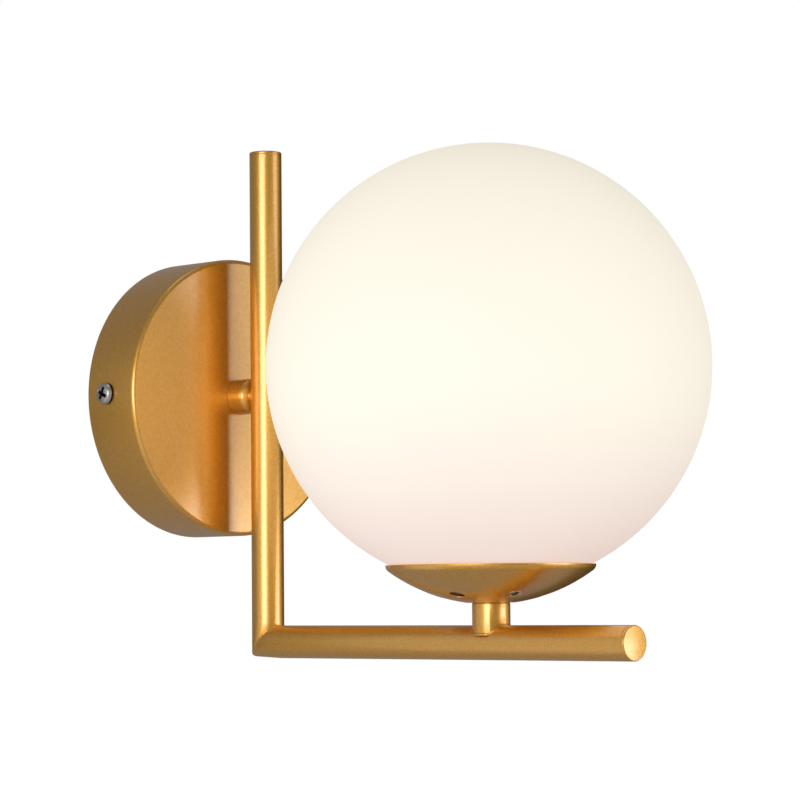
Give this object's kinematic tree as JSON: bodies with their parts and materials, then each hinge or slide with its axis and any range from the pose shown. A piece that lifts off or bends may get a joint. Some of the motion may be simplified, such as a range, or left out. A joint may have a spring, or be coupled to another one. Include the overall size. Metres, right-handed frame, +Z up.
{
  "type": "wall sconce",
  "caption": "Wall sconce with a round canopy, an L-shaped frame of mitred round tube, a shallow cup and an opal globe shade over a screw-base lamp.",
  "frame": {"origin": "middle of the mounting bracket's two screw slots, on the wall's surface", "axes": "+Y into the wall, -Y out into the room, +Z up, +X to the right of someone in the room who faces the wall"},
  "size_m": [0.154, 0.231, 0.1885],
  "materials": {
    "zinc_sheet": "zinc plated sheet",
    "gold_paint": "fine metallic gold spray paint, satin gloss",
    "zinc": "bright zinc",
    "tinned_copper": "tinned",
    "brass": "turned brass",
    "white_plastic": "satin white",
    "spring_steel": "bright spring steel",
    "opal_glass": "opal white, satin",
    "clear_silicone": "soft translucent ring",
    "holder_core": "off white",
    "solder": "soldered pip",
    "black_insulator": "black glass-like insulator",
    "lamp_metal": "bright thin sheet",
    "lamp_white": "white heat-sink housing",
    "lamp_diffuser": "milky diffuser",
    "brown_insulation": "brown",
    "blue_insulation": "blue",
    "green_insulation": "green with yellow"
  },
  "bodies": {
    "fixture": {"mounting_bracket": "zinc_sheet", "canopy": "gold_paint", "canopy_side_screws": "zinc", "earth_ring_lug": "tinned_copper", "earth_screw": "brass", "terminal_block": "white_plastic", "terminal_sleeves": "brass", "terminal_screws": "zinc", "terminal_fixing_screws": "zinc", "canopy_nipple": "zinc", "canopy_lock_washer": "zinc", "canopy_lock_nut": "zinc", "wall_stem": "gold_paint", "upright_tube": "gold_paint", "upright_end_cap": "gold_paint", "arm_tube": "gold_paint", "arm_end_cap": "gold_paint", "cup_post": "gold_paint", "cup": "gold_paint", "cup_nipple": "zinc", "cup_lock_washer": "zinc", "cup_lock_nut": "zinc", "globe_clips": "spring_steel", "cup_screws": "zinc", "clip_nuts": "zinc", "globe_seat_ring": "clear_silicone", "lampholder_base": "white_plastic", "lampholder_body": "white_plastic", "lampholder_insert": "holder_core", "lampholder_terminal_screws": "brass", "lampholder_screw_shell": "brass", "lampholder_contact": "brass", "live_wire": "brown_insulation", "neutral_wire": "blue_insulation", "earth_wire": "green_insulation"},
    "globe_body": {"globe": "opal_glass"},
    "lamp_contact_body": {"lamp_contact": "solder"},
    "lamp_body": {"lamp_insulator": "black_insulator", "lamp_cap": "lamp_metal", "lamp_housing": "lamp_white", "lamp_dome": "lamp_diffuser"}
  },
  "joints": [
    {"name": "globe_lift", "type": "slide", "parent": "fixture", "child": "globe_body", "axis": [0, 0, 1], "range_m": [0, 0.11]},
    {"name": "lamp_rise", "type": "slide", "parent": "fixture", "child": "lamp_contact_body", "axis": [0, 0, 1], "range_m": [0, 0.00706]},
    {"name": "lamp_turn", "type": "hinge", "parent": "lamp_contact_body", "child": "lamp_body", "pos_m": [0, -0.154, 0], "axis": [0, 0, 1], "range_deg": [0, 900]}
  ],
  "couplings": [
    {"joint": "lamp_rise", "follows": "lamp_turn", "m_per_rad": 0.00044913}
  ]
}
